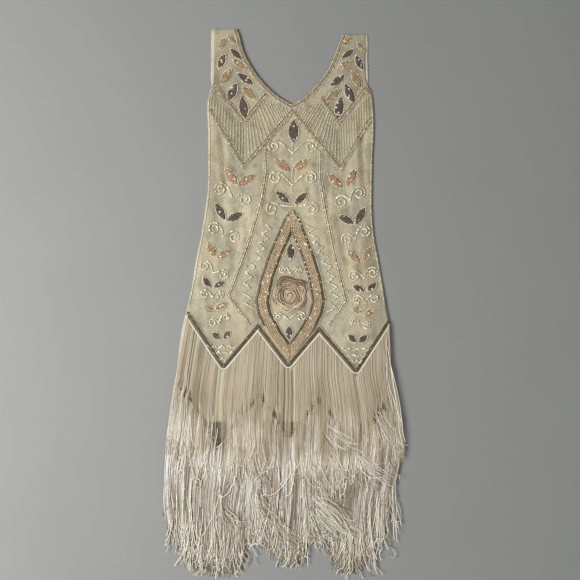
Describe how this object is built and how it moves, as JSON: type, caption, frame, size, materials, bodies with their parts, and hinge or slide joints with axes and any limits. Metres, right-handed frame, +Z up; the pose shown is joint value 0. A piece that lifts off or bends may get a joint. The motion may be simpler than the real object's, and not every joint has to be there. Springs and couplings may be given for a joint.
{
  "type": "flapper dress",
  "caption": "Sleeveless V-neck dress of beaded net laid flat, with a zigzag hip band, a pointed oval motif and tiers of long fringe on the skirt.",
  "frame": {"origin": "on the surface that the dress lies on, under the middle of its bounding box", "axes": "+Y towards the shoulders, +Z up from the surface, +X towards the viewer's right of the front"},
  "size_m": [0.547, 1.2692, 0.0101],
  "materials": {
    "net": "matte",
    "lining": "satin",
    "bronze_beads": "gloss",
    "gold_sequins": "gloss",
    "dark_sequins": "gloss",
    "rosette_thread": "matte",
    "fringe": "satin"
  },
  "bodies": {
    "root": {"front_panel": "net", "back_panel": "net", "front_lining": "lining", "back_lining": "lining", "neck_band_left": "bronze_beads", "neck_band_right": "bronze_beads", "shoulder_chevron_left": "bronze_beads", "shoulder_chevron_right": "bronze_beads", "bust_chevron": "bronze_beads", "side_line_left": "gold_sequins", "side_line_right": "gold_sequins", "oval_frame_left": "gold_sequins", "oval_frame_right": "gold_sequins", "rosette": "rosette_thread", "hip_band": "dark_sequins", "hem_band": "dark_sequins", "hip_fringe_front": "fringe", "hem_fringe_front": "fringe", "hip_fringe_back": "fringe", "hem_fringe_back": "fringe"}
  },
  "joints": []
}
